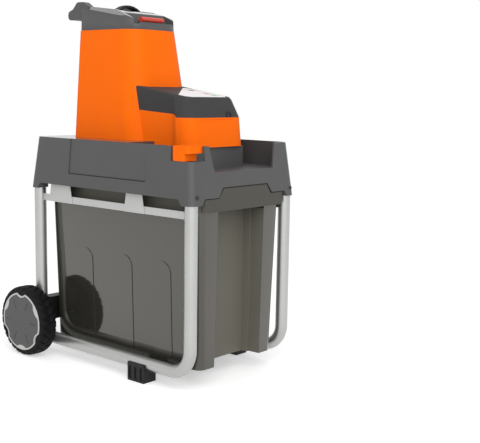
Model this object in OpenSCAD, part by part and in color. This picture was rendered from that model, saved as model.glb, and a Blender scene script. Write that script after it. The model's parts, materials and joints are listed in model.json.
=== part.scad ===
// Garden shredder: a hopper tower and a motor nose on a deck, a wheeled tube stand and a pull-out box.
// Millimetres, +Z up, the front faces -Y, the floor is Z = 0.
// Sizes are laid out about the middle of the four legs, then moved so that the whole part is centred.

/* [Stand] */
// Outside diameter of the stand tubes
tube_d = 31; // [28:0.5:34]
// Wall of the stand tubes
tube_wall = 2; // [1.5:0.5:3]
// Distance between the left and right leg axes
leg_gap_x = 340; // [334:2:360]
// Distance between the front and rear leg axes
leg_gap_y = 547; // [535:1:560]
// Height of the bottom rail's axis
rail_z = 44.5; // [40:0.5:48]
// Radius of the tube bends, on the tube's axis
bend_r = 60; // [54:1:66]
// Length of each foot along the rail
foot_l = 57; // [45:1:70]
// Width of each foot
foot_w = 41; // [38:1:46]
// Distance from the front legs back to the front of the feet
foot_back = 133; // [110:1:150]

/* [Wheels] */
// Outside diameter of the wheels
wheel_d = 183; // [170:1:190]
// Width of the tyres
tyre_w = 40; // [34:1:46]
// Height of the tyre's section
tyre_h = 15.5; // [14:0.5:20]
// Diameter of the axle
axle_d = 12; // [10:0.5:14]
// Distance of the axle in front of the rear legs
axle_back = 3; // [2:0.5:6]
// Gap between a tube and the wheel's hub
hub_gap = 12; // [8:0.5:14]
// Height of the black beam around the axle
beam_h = 62; // [54:1:70]

/* [Deck] */
// Height of the deck's lower edge
deck_z = 455; // [445:1:465]
// Height of the deck, from its lower edge to its top
deck_h = 119; // [110:1:126]
// How far the four corner lugs reach below the lower edge
lug_drop = 14; // [8:1:20]
// Wall between a leg and the outside of its lug
lug_wall = 5; // [4.5:0.5:8]
// Wall of the deck
deck_wall = 4; // [3.5:0.5:5]
// How far the side walls lean in from bottom to top
draft_x = 11.5; // [8:0.5:14]
// How far the end walls lean in from bottom to top
draft_y = 16; // [12:0.5:18]
// Radius of the deck's corners
deck_r = 22; // [20:1:26]
// Length of leg inside its lug, above the lower edge
leg_in = 14; // [12:1:16]
// Depth of the tray in front, below the deck's top
tray_depth = 62; // [56:1:70]
// Height of the low front wall above the tray floor
tray_wall = 2; // [1:1:8]
// Width of the low front wall at its top
front_gap_w = 226; // [200:2:240]
// Height of the lip notch in the front wall
notch_h = 23; // [18:1:28]
// Width of the lip notch at its top
notch_w = 162; // [140:2:176]
// How far each end of the notch slopes out
notch_slope = 17; // [12:1:24]

/* [Box] */
// Width of the box at its top edge
box_w = 295; // [284:1:297]
// Width of the box at its floor
box_floor_w = 268; // [256:2:276]
// Height of the box's floor
box_z = 46; // [42:1:50]
// Height of the ledges that the box slides on
rim_z = 410; // [404:1:416]
// Thickness of the box's walls
box_wall = 3; // [2.5:0.5:4]
// Distance of the box's front from the front leg axes
box_front = 5; // [2:1:8]
// Distance of the box's back from the rear leg axes
box_back = 21; // [20:1:30]
// Width of the grip recess in the box's front
recess_w = 170; // [156:2:176]
// Depth of the wide part of the grip recess
recess_d = 40; // [34:1:44]
// How much deeper the narrow part of the recess is
recess_more = 18; // [12:1:24]
// How much narrower it is on each side
recess_in = 8; // [6:1:12]
// Gap around the lip in its notch
lip_gap = 3; // [2:0.5:5]

/* [Tower] */
// Height of the tower
tower_h = 273; // [260:1:290]
// Width of the tower's foot
tower_foot_w = 216; // [210:2:232]
// Width of the tower's top
tower_top_w = 174; // [168:1:182]
// Distance of the tower's rear wall behind the middle of the legs
tower_rear = 213; // [206:1:218]
// Depth of the tower's foot
tower_foot_l = 247; // [240:1:252]
// Depth of the tower's top
tower_top_l = 205; // [200:1:210]
// Radius of the tower's front corners
tower_r = 52; // [44:1:62]
// Radius of the tower's rear corners
tower_rear_r = 12; // [8:1:20]
// Wall of the tower
tower_wall = 3; // [2.5:0.5:4]
// Height of the hopper cap over the tower, at its hump
cap_h = 73; // [66:1:78]
// How far the rear handle stands out
handle_reach = 51; // [46:0.5:56]
// Width of the rear handle
handle_w = 164; // [150:2:168]
// How far the hopper cap's rear stands in from the tower's
cap_inset = 3; // [2:0.5:6]

/* [Nose] */
// Width of the motor nose at its foot
nose_foot_w = 206; // [198:2:212]
// Width of the nose's neck at the tower
neck_w = 164; // [156:2:168]
// Width of the nose at the front of its sloping top
crown_w = 170; // [160:2:176]
// Distance of the nose's front in front of the middle of the legs
nose_front = 204; // [198:1:208]
// Height of the nose housing below its cap
nose_h = 70.5; // [66:0.5:75]
// Slope of the nose's top, in degrees
panel_tilt = 8.5; // [6:0.1:9.5]
// Wall of the nose
nose_wall = 3; // [2.5:0.5:4]

/* [Drive] */
// Height of the motor and drum axis above the deck
drive_z = 52; // [50:1:56]
// Diameter of the cutting drum
drum_d = 108; // [100:1:112]
// Length of the cutting drum
drum_l = 96; // [88:1:104]
// Number of blades on the drum
blades = 8; // [6:1:10]
// Diameter of the motor stator
stator_d = 98; // [90:1:100]
// Length of the motor stator
stator_l = 76; // [68:1:80]
// Diameter of the motor rotor
rotor_d = 56; // [48:1:60]
// Travel of the push buttons
press = 2; // [1.5:0.5:3]

/* [Hidden] */
$fn = 48;

// A cut or a tool shape reaches this far past the faces it goes through
over = 1;
// Longer than any piece: a cut of this length passes through all of it
far = 300;
// Height of the thin slices that a blend is made from
skin = 0.01;
// Radial clearance of a shaft that turns or slides in its hole
run_gap = 0.06;
// Radial clearance of a piece that is only pushed in place
seat_gap = 0.05;
// Clearance between pieces that move past each other
free_gap = 0.4;

leg_x = leg_gap_x / 2;
leg_y = leg_gap_y / 2;
lug_z = deck_z - lug_drop;
leg_top = deck_z + leg_in;
deck_top = deck_z + deck_h;
deck_w = leg_gap_x + tube_d + 2 * lug_wall;
deck_l = leg_gap_y + tube_d + 2 * lug_wall;
axle_y = leg_y - axle_back;
axle_z = wheel_d / 2;
hub_x = leg_x + tube_d / 2 + hub_gap;
wheel_x = hub_x + 2;
wheel_face = wheel_x + tyre_w;
hub_end = wheel_face - 12;
rim_r = wheel_d / 2 - tyre_h;
// The part's middle lies half way between the deck's front and the wheels' back
shift_y = (deck_l / 2 - axle_y - wheel_d / 2) / 2;

tray_z = deck_top - tray_depth;
tray_floor = 6;
corner_z = deck_top - 34;
drive_h = deck_top + drive_z;
cap_z = deck_top + tower_h;
tower_foot_y = tower_rear - tower_foot_l;
tower_top_y = tower_rear - tower_top_l;
nose_z = deck_top - 10;
split_z = nose_z + nose_h;
nose_lean = 5;
nose_top = deck_top + 140;
panel_y = -94;
panel_z = nose_top - 19.8;
box_front_y = -leg_y - box_front;
box_back_y = leg_y - box_back;
ledge_t = 3;
head_z = deck_z - 2;
lip_y = -deck_l / 2 + 4;
drum_y = 62;
drum_end = drum_y + drum_l;
case_front = -56;
case_back = 46;
motor_back = -78;
motor_front = motor_back - stator_l;
screw_y = drum_y + drum_l / 2;
grip_y = 123;
bar_y = 32;
bar_z = cap_z + 26;
lock_x0 = -181;
lock_y1 = -222;
lock_z = deck_top + 1;

grey = "#5f6062";
dark = "#46484a";
orange = "#f8700f";
silver = "#c6c7c5";
black = "#1c1c1e";
steel = "#9aa0a6";

// Every sub-part is laid out about the middle of the legs and then moved to the part's middle
module placed() { translate([0, shift_y, 0]) children(); }

// A plate with four round corners, from x0 to x1 and y0 to y1
module plate(x0, x1, y0, y1, r, h) {
    hull()
        for (x = [x0 + r, x1 - r], y = [y0 + r, y1 - r])
            translate([x, y, 0]) cylinder(r = r, h = h);
}

// A block that blends between two outlines: each is [z, half width, y0, y1, front radius, rear radius]
module loft(low, high, inset = 0) {
    hull() {
        outline(low, inset);
        outline(at_z(high, high[0] - skin), inset);
    }
}
module outline(s, inset) {
    for (x = [-1, 1], k = [4, 5])
        translate([x * (s[1] - s[k]), k == 4 ? s[2] + s[4] : s[3] - s[5], s[0]])
            cylinder(r = s[k] - inset, h = skin);
}

// The same outline at another height
function at_z(s, z) = [z, s[1], s[2], s[3], s[4], s[5]];

// A rod along X, Y or Z from a to b at the two other coordinates
module rod_x(a, b, y, z, d) { translate([a, y, z]) rotate([0, 90, 0]) cylinder(d = d, h = b - a); }
module rod_y(a, b, x, z, d) { translate([x, a, z]) rotate([-90, 0, 0]) cylinder(d = d, h = b - a); }
module rod_z(a, b, x, y, d) { translate([x, y, a]) cylinder(d = d, h = b - a); }

// A box between two corners
module span(a, b) { translate(a) cube(b - a); }

// A prism whose outline is drawn in Y and Z and that reaches half_w to both sides of X = 0
module side_prism(points, half_w) {
    translate([-half_w, 0, 0]) rotate([90, 0, 90]) linear_extrude(2 * half_w) polygon(points);
}

// The left or right copy of something drawn for the right side
module sided(side) { if (side < 0) mirror([1, 0, 0]) children(); else children(); }

// Stand

// One bent tube, solid, of diameter d: front leg, bend, bottom rail, bend, rear leg
module bent_rod(d, top) {
    for (s = [-1, 1]) {
        rod_z(rail_z + bend_r, top, 0, s * leg_y, d);
        translate([0, s * (leg_y - bend_r), rail_z + bend_r]) rotate([90, 0, s > 0 ? 90 : -90])
            rotate([0, 0, -90]) rotate_extrude(angle = 90) translate([bend_r, 0]) circle(d = d);
    }
    rod_y(bend_r - leg_y, leg_y - bend_r, 0, rail_z, d);
}

module side_frame() {
    color(silver) difference() {
        translate([leg_x, 0, 0]) bent_rod(tube_d, leg_top);
        translate([leg_x, 0, 0]) bent_rod(tube_d - 2 * tube_wall, leg_top + over);
        rod_x(leg_x - tube_d, leg_x + tube_d, axle_y, axle_z, axle_d + 2 * seat_gap);
        for (s = [-1, 1])
            rod_y(s > 0 ? leg_y : -leg_y - tube_d, s > 0 ? leg_y + tube_d : -leg_y, leg_x, screw_z,
                screw_d + 2 * seat_gap);
    }
}
module side_frame_left() { placed() sided(-1) side_frame(); }
module side_frame_right() { placed() sided(1) side_frame(); }

// The black cross-beam that carries the axle between the two side frames
beam_x = leg_x - tube_d / 2;
beam_y0 = axle_y - 13;
beam_y1 = axle_y + 19;
beam_z0 = axle_z - 8;
module axle_beam() {
    placed() color(black) difference() {
        span([-beam_x, beam_y0, beam_z0], [beam_x, beam_y1, beam_z0 + beam_h]);
        span([-beam_x + 30, beam_y0 + 4, beam_z0 + 22], [beam_x - 30, beam_y1 + over, beam_z0 + beam_h - 4]);
        rod_x(-beam_x - over, beam_x + over, axle_y, axle_z, axle_d + 2 * seat_gap);
    }
}

axle_end = hub_end + 4;
module axle() { placed() color(steel) rod_x(-axle_end, axle_end, axle_y, axle_z, axle_d); }

// Push-on caps that hold the wheels on the axle, under the wheel covers
module axle_caps() {
    placed() color(steel) for (s = [-1, 1]) sided(s)
        translate([hub_end + free_gap, axle_y, axle_z]) rotate([0, 90, 0]) difference() {
            cylinder(d = axle_d + 10, h = 6);
            translate([0, 0, -over])
                cylinder(d = axle_d + 2 * seat_gap, h = over + axle_end - hub_end - free_gap);
        }
}

// A black foot that clips under the bottom rail, with upright slots outside
foot_slot = 8;
module foot() {
    y0 = -leg_y + foot_back;
    color(black) difference() {
        span([leg_x - foot_w / 2, y0, 0], [leg_x + foot_w / 2, y0 + foot_l, rail_z + 2]);
        rod_y(y0 - over, y0 + foot_l + over, leg_x, rail_z, tube_d + 2 * seat_gap);
        for (k = [0:2])
            translate([leg_x + foot_w / 2 - 3, y0 + (k + 0.5) * foot_l / 3 - foot_slot / 2, 0])
                span([0, 0, 6], [3 + over, foot_slot, rail_z - 8]);
        span([leg_x - foot_w / 2 + 5, y0 + 5, -over], [leg_x + foot_w / 2 - 8, y0 + foot_l - 5, 9]);
    }
}
module foot_left() { placed() sided(-1) foot(); }
module foot_right() { placed() sided(1) foot(); }

// A folded sheet rail from leg to leg, with a flange inwards that the box's ledge slides on
sheet = 2;
rail_x1 = leg_x + 2;
rail_x0 = box_w / 2 + 0.5;
rail_low = rim_z - sheet;
rail_h = 18;
module guide_rail() {
    end_y = leg_y - tube_d / 2;
    color(silver) {
        span([rail_x0, -end_y, rail_low], [rail_x1, end_y, rail_low + sheet]);
        span([rail_x1 - sheet, -end_y, rail_low], [rail_x1, end_y, rail_low + rail_h]);
    }
}
module guide_rail_left() { placed() sided(-1) guide_rail(); }
module guide_rail_right() { placed() sided(1) guide_rail(); }

// Plates that hang the rails from the deck, each from y0 to y1 at its lower edge and narrower above
hanger_spans = [[-124, -53], [140, 232]];
hanger_slope = 8;
hanger_top = deck_z + 25;
module hanger(t) {
    translate([rail_x1, 0, 0]) rotate([90, 0, 90]) linear_extrude(sheet)
        polygon([[t[0], rail_low], [t[1], rail_low], [t[1] - hanger_slope, deck_z],
            [t[1] - hanger_slope, hanger_top], [t[0] + hanger_slope, hanger_top],
            [t[0] + hanger_slope, deck_z]]);
}
module rail_hangers() { placed() color(silver) for (s = [-1, 1], t = hanger_spans) sided(s) hanger(t); }

// Deck

deck_low = [lug_z, deck_w / 2, -deck_l / 2, deck_l / 2, deck_r, deck_r];
deck_high = [deck_top, deck_w / 2 - draft_x, -deck_l / 2 + draft_y, deck_l / 2 - draft_y, deck_r, deck_r];
screw_d = 5;
screw_z = deck_z + 5;
screw_head = 10;
pedestal_x = nose_foot_w / 2 - 5;
pedestal_y = -nose_front + 9;
shelf_y = -63;
chute_x = 66;
chute_y0 = drum_y - 10;
chute_y1 = drum_end + 6;

// The outside of the deck, without its cuts
module deck_outside() { loft(deck_low, deck_high); }

// The deck's outline moved in by its wall, between two heights
module deck_inside(z0, z1) {
    intersection() {
        loft(deck_low, [deck_top + 40, deck_high[1] - draft_x / 3, deck_high[2] + draft_y / 3,
            deck_high[3] - draft_y / 3, deck_r, deck_r], deck_wall);
        span([-deck_w, -deck_l, z0], [deck_w, deck_l, z1]);
    }
}

// The open tray in front, beside and before the pedestal that carries the nose
module tray_space() {
    difference() {
        intersection() {
            deck_inside(tray_z, deck_top + over);
            span([-deck_w, -deck_l, tray_z], [deck_w, shelf_y, deck_top + over]);
        }
        span([-pedestal_x, pedestal_y, tray_z - over], [pedestal_x, shelf_y + over, nose_z]);
    }
}

// The space under the deck: the whole plan up to the tray, then the part under the shelf and the pedestal
module under_space() {
    deck_inside(lug_z - over, tray_z - tray_floor);
    intersection() {
        deck_inside(tray_z - tray_floor - over, deck_top - 4);
        span([-deck_w, shelf_y + 3, 0], [deck_w, deck_l, deck_top]);
    }
    span([-pedestal_x + 3, pedestal_y + 3, tray_z - tray_floor - over],
        [pedestal_x - 3, shelf_y + 4, nose_z - 3]);
}

// The low front wall and the low corner beside the box lock
module front_cuts() {
    low = tray_z + tray_wall;
    side_y = -deck_l / 2 - over;
    translate([0, side_y + 60, 0]) rotate([90, 0, 0]) linear_extrude(60)
        polygon([[-front_gap_w / 2 - 6, deck_top + over], [-front_gap_w / 2 + 7, low],
            [front_gap_w / 2 - 7, low], [front_gap_w / 2 + 6, deck_top + over]]);
    span([-deck_w / 2 - over, side_y, corner_z], [-deck_w / 2 + 55, lock_y1 + 4, deck_top + over]);
    translate([0, lip_y + apron_t + 1, 0]) rotate([90, 0, 0]) linear_extrude(30)
        polygon([[-notch_w / 2 - notch_slope, deck_z - over], [notch_w / 2 + notch_slope, deck_z - over],
            [notch_w / 2, deck_z + notch_h], [-notch_w / 2, deck_z + notch_h]]);
}

// The lower edge between the corner lugs is higher than the lugs, whose ends slope
lug_low = 14;
lug_high = 24;
module edge_cuts() {
    side_prism(edge_shape(leg_y), deck_w);
    rotate([0, 0, 90]) side_prism(edge_shape(leg_x), deck_l);
}
function edge_shape(a) = [[lug_low - a - over, lug_z - over], [a - lug_low + over, lug_z - over],
    [a - lug_high, deck_z], [lug_high - a, deck_z]];

// The rib behind the box's lip, that the lip closes against
module stop_rib() {
    x = notch_w / 2 + notch_slope + 6;
    span([-x, lip_y + apron_t + 1.5, deck_z + 4], [x, lip_y + apron_t + 5, tray_z - tray_floor + over]);
}

// Shallow panel pressed into each side wall
module side_panels() {
    for (s = [-1, 1]) sided(s)
        side_panel();
}
panel_depth = 2.2;
panel_y0 = -140;
panel_y1 = 138;
panel_low = 45;
module side_panel() {
    lean = atan(draft_x / (deck_top - lug_z));
    translate([deck_w / 2, 0, lug_z]) rotate([0, -lean, 0])
        span([-panel_depth, panel_y0, panel_low], [10, panel_y1, deck_h + 40]);
}

// The deck's walls with its leg sockets and hanger blocks, before the cuts
module deck_body() {
    difference() {
        deck_outside();
        under_space();
        tray_space();
    }
    intersection() {
        deck_outside();
        union() {
            for (x = [-leg_x, leg_x], s = [-1, 1])
                rod_z(lug_z, leg_top + 4, x, s * leg_y, tube_d + 2 * lug_wall);
            for (s = [-1, 1], t = hanger_spans) sided(s) hanger_block(t);
            stop_rib();
        }
    }
}

module deck() {
    placed() color(grey) difference() {
        deck_body();
        front_cuts();
        edge_cuts();
        side_panels();
        span([-chute_x, chute_y0, deck_top - 20], [chute_x, chute_y1, deck_top + over]);
        for (x = [-leg_x, leg_x], s = [-1, 1]) {
            rod_z(lug_z - over, leg_top, x, s * leg_y, tube_d + 2 * seat_gap);
            screw_hole(x, s);
        }
        rod_z(tray_z - 20, tray_z + over, lock_pin_x, lock_pin_y, lock_pin_d + 2 * run_gap);
    }
}

// A screw's hole through the deck's end wall, with a flat seat for its head
module screw_hole(x, s) {
    y = deck_l / 2 + over;
    rod_y(s > 0 ? leg_y : -y, s > 0 ? y : -leg_y, x, screw_z, screw_d + 2 * seat_gap);
    rod_y(s > 0 ? y - 5 : -y, s > 0 ? y : 5 - y, x, screw_z, screw_head + 2 * seat_gap);
}

// The block inside a side wall that a hanger is screwed to
module hanger_block(t) {
    span([rail_x1 + sheet, t[0] + 16, deck_z + 4], [deck_w / 2, t[1] - 16, hanger_top]);
}

module leg_screws() {
    seat_y = deck_l / 2 + over - 5;
    placed() color(steel) for (x = [-leg_x, leg_x], s = [-1, 1])
        translate([x, 0, screw_z]) rotate([0, 0, s > 0 ? 0 : 180]) {
            rod_y(leg_y + tube_d / 2 - tube_wall - 6, seat_y + 1, 0, 0, screw_d);
            difference() {
                rod_y(seat_y, seat_y + 3, 0, 0, screw_head);
                rod_y(seat_y + 1.5, seat_y + 4, 0, 0, 4);
            }
        }
}

// Tower

tower_low = [deck_top, tower_foot_w / 2, tower_foot_y, tower_rear, tower_r + 6, tower_rear_r + 2];
tower_high = [cap_z, tower_top_w / 2, tower_top_y, tower_rear, tower_r, tower_rear_r];
case_x = 60;
case_top = deck_top + 106;
knob_x = tower_foot_w / 2 + 3;

module tower_outside() { loft(tower_low, tower_high); }

module tower() {
    placed() color(orange) difference() {
        union() {
            tower_outside();
            rod_x(knob_x - 40, knob_x, screw_y, drive_h, 38);
        }
        loft(at_z(tower_low, deck_top - over), at_z(tower_high, cap_z + over), tower_wall);
        span([-case_x - 3, -60, deck_top - over], [case_x + 3, case_back, case_top + 3]);
        rod_x(knob_x - 60, knob_x + over, screw_y, drive_h, spindle_d + 2 * run_gap);
    }
}

// The hopper cap's side view, from the front edge up over the hump to the rear handle
hump_z = cap_z + cap_h;
cap_rear = tower_rear - cap_inset;
handle_y = cap_rear + handle_reach;
handle_low = cap_z + 28;
handle_h = 24;
handle_r = 10;
function handle_end(low) = [for (k = [0:4]) let (a = low ? k * 22.5 - 90 : k * 22.5,
        z = low ? handle_low + handle_r : handle_low + handle_h - handle_r)
    [handle_y - handle_r + handle_r * cos(a), z + handle_r * sin(a)]];
cap_side = concat(
    [[tower_top_y - 4, cap_z], [cap_rear, cap_z], [cap_rear, handle_low - 6], [cap_rear + 6, handle_low]],
    handle_end(true), handle_end(false),
    [[cap_rear + 32, hump_z - 17.5], [cap_rear + 17, hump_z - 2], [cap_rear + 12, hump_z],
    [cap_rear - 8, hump_z], [cap_rear - 14, hump_z - 2], [cap_rear - 30, hump_z - 12],
    [92, cap_z + 51], [60, cap_z + 42], [37, cap_z + 33], [tower_top_y - 2, cap_z + 18]]);
cap_low = [cap_z, tower_high[1] - 1, tower_top_y, cap_rear, tower_r, tower_rear_r - 2];
cap_high = [hump_z + over, tower_high[1] - 3, tower_top_y + 6, cap_rear, tower_r - 4, tower_rear_r - 2];
horn_w = 18;
mouth_x = 68;
mouth_y0 = 74;
mouth_y1 = cap_rear - 16;
slot_x = 46;
slot_y = 20;

module hopper_cap() {
    horn_x = handle_w / 2 - horn_w;
    placed() color(grey) difference() {
        union() {
            difference() {
                intersection() {
                    side_prism(cap_side, tower_top_w);
                    loft(cap_low, cap_high);
                }
                for (s = [-1, 1]) sided(s) rim_slope();
            }
            intersection() {
                side_prism(cap_side, handle_w / 2);
                span([-handle_w, cap_rear - 30, handle_low - over],
                    [handle_w, handle_y + over, hump_z + over]);
            }
        }
        mouth_space();
        bar_space();
        plate(-horn_x, horn_x, cap_rear + 9, handle_y - 16, 10, hump_z + over);
        span([-horn_x, cap_rear - 40, hump_z - 14], [horn_x, handle_y, hump_z + over]);
        for (x = [-bar_pin_x, bar_pin_x]) rod_y(bar_y, 70, x, bar_z, bar_pin_d + 2 * run_gap);
    }
}

// The cut that slopes the rim down to the outside: it starts at the edge line along each side
edge_y0 = 44;
edge_z0 = cap_z + 31.7;
edge_y1 = 193;
edge_z1 = cap_z + 56;
module rim_slope() {
    rise = atan((edge_z1 - edge_z0) / (edge_y1 - edge_y0));
    translate([tower_high[1] - 2.5, edge_y0, edge_z0]) rotate([rise, 0, 0]) rotate([0, 34, 0])
        span([-60, -far, 0], [60, far, 60]);
}

// The funnel from the mouth down to the feed slot
module mouth_space() {
    hull() {
        translate([0, 0, hump_z + over]) plate(-mouth_x, mouth_x, mouth_y0, mouth_y1, 14, skin);
        translate([0, 0, cap_z + 8])
            plate(-slot_x - 12, slot_x + 12, grip_y - slot_y - 8, grip_y + slot_y + 10, 6, skin);
    }
    span([-slot_x, grip_y - slot_y, cap_z - over], [slot_x, grip_y + slot_y, cap_z + 9]);
}

// The recess behind the front edge, where the release bar lies
module bar_space() {
    floor_z = cap_z + 14;
    lip_z = cap_z + 18;
    side_prism([[tower_top_y + 7, floor_z], [47.5, floor_z], [60, cap_z + 42.5], [60, cap_z + 80],
        [tower_top_y - 9, cap_z + 80], [tower_top_y - 9, lip_z], [tower_top_y + 7, lip_z]], 70);
}

// The upright duct from the feed slot down to the drum
module feed_chute() {
    wall = 3;
    x = slot_x + wall + 1;
    y = slot_y + wall + 1;
    placed() color(dark) difference() {
        union() {
            span([-x, grip_y - y, drive_h + drum_d / 2 + 10], [x, grip_y + y, cap_z]);
            span([-x - 14, grip_y - slot_y - 16, cap_z - 4], [x + 14, grip_y + slot_y + 16, cap_z]);
        }
        span([-slot_x - 1, grip_y - slot_y - 1, 0], [slot_x + 1, grip_y + slot_y + 1, cap_z + over]);
    }
}

// Nose

nose_back = 60;
nose_r = 36;
nose_foot = [nose_z, nose_foot_w / 2, -nose_front, nose_back, nose_r, nose_r];
nose_split = [split_z, nose_foot_w / 2 - nose_lean, -nose_front + nose_lean, nose_back,
    nose_r - 2, nose_r - 2];
// The two outlines of the sloping top, in the frame of that slope: below and above its rounded edge
crown_low = [-6, crown_w / 2, -87, 156, 24, 24];
crown_high = [0, crown_w / 2 - 5.5, -81, 156, 20, 20];

// Half width of the nose at a place along Y: a narrow neck that swings out to the full front
flare_y0 = -165;
flare_y1 = -118;
function flare(t) = (1 - cos(180 * t)) / 2;
function nose_plan(inset) = [for (s = [-1, 1], k = [0:13])
    let (j = s < 0 ? k : 13 - k, t = (j - 1) / 11,
        y = j == 0 ? -nose_front - 10 : j == 13 ? nose_back : flare_y0 + (flare_y1 - flare_y0) * t,
        half = j == 0 ? nose_foot_w / 2 : j == 13 ? neck_w / 2
            : nose_foot_w / 2 + (neck_w - nose_foot_w) / 2 * flare(t))
    [s * (half - inset), y]];

// The whole nose from its foot to above its top, moved in by inset
module nose_form(inset) {
    intersection() {
        union() {
            loft(nose_foot, nose_split, inset);
            hull() {
                outline(nose_split, inset);
                on_panel() {
                    outline(crown_low, inset);
                    outline(crown_high, inset);
                }
            }
        }
        translate([0, 0, nose_z - 20]) linear_extrude(far) polygon(nose_plan(inset));
    }
}

// Height of the nose's sloping top at a place along Y
function top_at(y) = panel_z + (y - panel_y) * tan(panel_tilt);

// The zone that the nose's cap takes up: a stepped lower edge and a sloping top
step_y = -152;
module cap_zone(low, high) {
    z = split_z + low;
    side_prism([[-far, z], [step_y, z], [step_y + 6, z + 6], [-5, z + 15], [nose_back, z + 18],
        [nose_back, top_at(nose_back) + high], [-far, top_at(-far) + high]], far);
}

module nose_housing() {
    placed() color(orange) difference() {
        nose_form(0);
        intersection() {
            nose_form(nose_wall);
            span([-far, -far, nose_z + nose_wall], [far, far, nose_top + far]);
        }
        cap_zone(0, far);
        tower_outside();
        span([-far, shelf_y, nose_z - over], [far, far, deck_top]);
        span([-case_x - 1, -40, deck_top - over], [case_x + 1, far, case_top]);
        translate([0, inlet_y, inlet_z])
            span([0, -inlet_w / 2, -inlet_h / 2], [far, inlet_w / 2, inlet_h / 2]);
        latch_line();
    }
}

// A shallow line across the front, under the cap
latch_x = 54;
latch_z = split_z - 5;
module latch_line() {
    span([-latch_x, -far, latch_z - 0.7], [latch_x, 0.9 - nose_front + nose_lean, latch_z + 0.7]);
}

// The small arched notch in the lower edge of the cap's front, for lifting the cap off
notch_x = 41;
pry_w = 9;
module pry_notch() {
    y = -nose_front + nose_lean + 2.2;
    rod_y(-far, y, notch_x, split_z + 5, pry_w);
    span([notch_x - pry_w / 2, -far, split_z - over], [notch_x + pry_w / 2, y, split_z + 5]);
}

module nose_cap() {
    placed() color(dark) difference() {
        intersection() {
            nose_form(0);
            cap_zone(0, 20);
        }
        intersection() {
            nose_form(nose_wall);
            cap_zone(-over, -nose_wall - panel_seat);
        }
        tower_outside();
        on_panel() panel_plate(seat_gap, 10);
        on_panel() control_holes(5);
        pry_notch();
    }
}

// The frame of the sloping top: its origin is the panel's middle, on the nose's surface
module on_panel() { translate([0, panel_y, panel_z]) rotate([panel_tilt, 0, 0]) children(); }

// The panel is as wide as the top at its front, and its left edge runs back slantwise to the right
panel_half = 73;
panel_front = -75;
panel_rear = 64;
panel_corner = 13;
panel_seat = 1.5;
panel_slant = [[50, panel_rear], [-panel_half, -42]];
// The controls lie right of the motor
control_x = 46;
control_top = -1.2;
button_w = 24;
button_l = 20;
start_pos = [control_x, -48];
stop_pos = [control_x, -22];
reset_pos = [control_x, 3];
switch_pos = [control_x, 31];
reset_d = 12;

module panel_plate(grow, top) {
    x = panel_half + grow;
    front = panel_front - grow;
    rear = panel_rear + grow;
    translate([0, 0, -panel_seat]) linear_extrude(top + panel_seat)
        polygon([[panel_corner - x, front], [x - panel_corner, front], [x, front + panel_corner],
            [x, rear - panel_corner], [x - panel_corner, rear], panel_slant[0] + [-grow, grow],
            panel_slant[1] + [-grow, grow], [-x, front + panel_corner]]);
}

// The holes for the buttons, grown by a gap on every side
module control_holes(depth) {
    gap = free_gap;
    x = button_w / 2 + gap;
    y = button_l / 2 + gap;
    for (p = [start_pos, stop_pos])
        translate([p[0], p[1], 0]) span([-x, -y, -depth], [x, y, 5]);
    translate([reset_pos[0], reset_pos[1], -depth]) cylinder(d = reset_d + 2 * gap, h = depth + 5);
    translate([switch_pos[0], switch_pos[1], 0])
        span([-rocker_x - gap, -rocker_y - gap, -depth], [rocker_x + gap, rocker_y + gap, 5]);
}

module control_panel() {
    placed() color("#d9dadb") on_panel() difference() {
        panel_plate(0, 0.5);
        control_holes(5);
    }
}

// The switch unit under the panel, with a guide hole for each control
stem_d = 6;
stem_low = -12;
switch_low = -16.2;
module switch_box() {
    x = rocker_x + free_gap;
    y = rocker_y + free_gap;
    pin = rocker_y + 3.5;
    placed() color(black) on_panel() difference() {
        span([control_x - 19, -62, switch_low], [control_x + 19, 48, -4.5]);
        control_holes(8);
        for (p = [start_pos, stop_pos, reset_pos])
            translate([p[0], p[1], stem_low - press - over]) cylinder(d = stem_d + 2 * run_gap, h = 20);
        translate([switch_pos[0], switch_pos[1], 0]) {
            span([-x, -y, -15], [x, y, 5]);
            rod_y(-pin, pin, 0, rocker_z, rocker_pin + 2 * run_gap);
        }
    }
}

module push_button(pos, tint) {
    placed() color(tint) on_panel() translate([pos[0], pos[1], 0]) {
        span([-button_w / 2, -button_l / 2, -5], [button_w / 2, button_l / 2, control_top]);
        rod_z(stem_low, -4, 0, 0, stem_d);
    }
}
module start_button() { push_button(start_pos, "#2f9a48"); }
module stop_button() { push_button(stop_pos, "#c8372c"); }
module reset_button() {
    placed() color(black) on_panel() translate([reset_pos[0], reset_pos[1], 0]) {
        rod_z(-5, control_top, 0, 0, reset_d);
        rod_z(stem_low, -4, 0, 0, stem_d);
    }
}

// A rocker that tips on a pin across the switch unit
rocker_x = 15;
rocker_y = 10;
rocker_z = -8;
rocker_pin = 4;
module direction_switch() {
    w = rocker_y - 1;
    placed() color(black) on_panel() translate([switch_pos[0], switch_pos[1], rocker_z]) {
        rod_y(-rocker_y - 3, rocker_y + 3, 0, 0, rocker_pin);
        intersection() {
            rod_y(-w, w, 0, 0, 26);
            span([-rocker_x, -rocker_y, -5], [rocker_x, rocker_y, control_top - rocker_z]);
        }
    }
}

// Where a cable would plug in, on the side away from the box lock
inlet_w = 38;
inlet_h = 30;
inlet_y = -80;
inlet_z = nose_z + 36;
module power_inlet() {
    x1 = neck_w / 2 + 1;
    w = inlet_w / 2;
    h = inlet_h / 2;
    placed() color(black) difference() {
        union() {
            span([x1 - 27, inlet_y - w + seat_gap, inlet_z - h + seat_gap],
                [x1, inlet_y + w - seat_gap, inlet_z + h - seat_gap]);
            span([x1 - 1, inlet_y - w - 4, inlet_z - h - 4], [x1 + 2, inlet_y + w + 4, inlet_z + h + 4]);
        }
        span([x1 - 24, inlet_y - w + 5, inlet_z - h + 5], [x1 + 10, inlet_y + w - 5, inlet_z + h - 5]);
    }
}

// Drive

shaft_d = 12;
drum_shaft_d = 20;
spindle_d = 10;

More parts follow.
